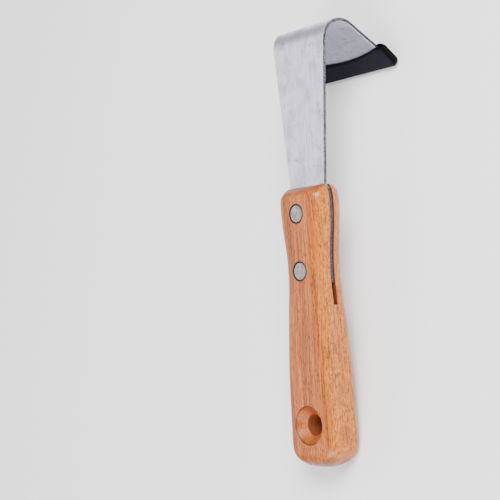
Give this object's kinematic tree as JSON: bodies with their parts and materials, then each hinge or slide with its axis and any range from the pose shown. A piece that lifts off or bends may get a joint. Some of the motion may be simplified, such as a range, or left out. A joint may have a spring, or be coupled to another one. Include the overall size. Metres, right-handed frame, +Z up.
{
  "type": "hoof pick",
  "caption": "Hoof pick with a countersunk wooden handle, a riveted steel strap bent into a flared scraping hook, and a slip-on blade guard",
  "frame": {"origin": "centre of the bounding box at the surface the tool lies on", "axes": "+X across the tool, +Y from the butt towards the hook, +Z up, out of the handle's back"},
  "size_m": [0.0562, 0.208, 0.0411],
  "materials": {
    "beech": "satin lacquer",
    "blade_steel": "brushed along the strap",
    "rivet_metal": "ground flush",
    "guard_plastic": "moulded, matt"
  },
  "bodies": {
    "tool": {"handle": "beech", "blade": "blade_steel", "hook_end_rivet_pin": "rivet_metal", "hook_end_rivet_sleeve": "rivet_metal", "middle_rivet_pin": "rivet_metal", "middle_rivet_sleeve": "rivet_metal"},
    "guard": {"blade_guard": "guard_plastic"}
  },
  "joints": [
    {"name": "guard_slide", "type": "slide", "parent": "tool", "child": "guard", "axis": [0, -0.4834, -0.8754], "range_m": [0, 0.03]}
  ]
}
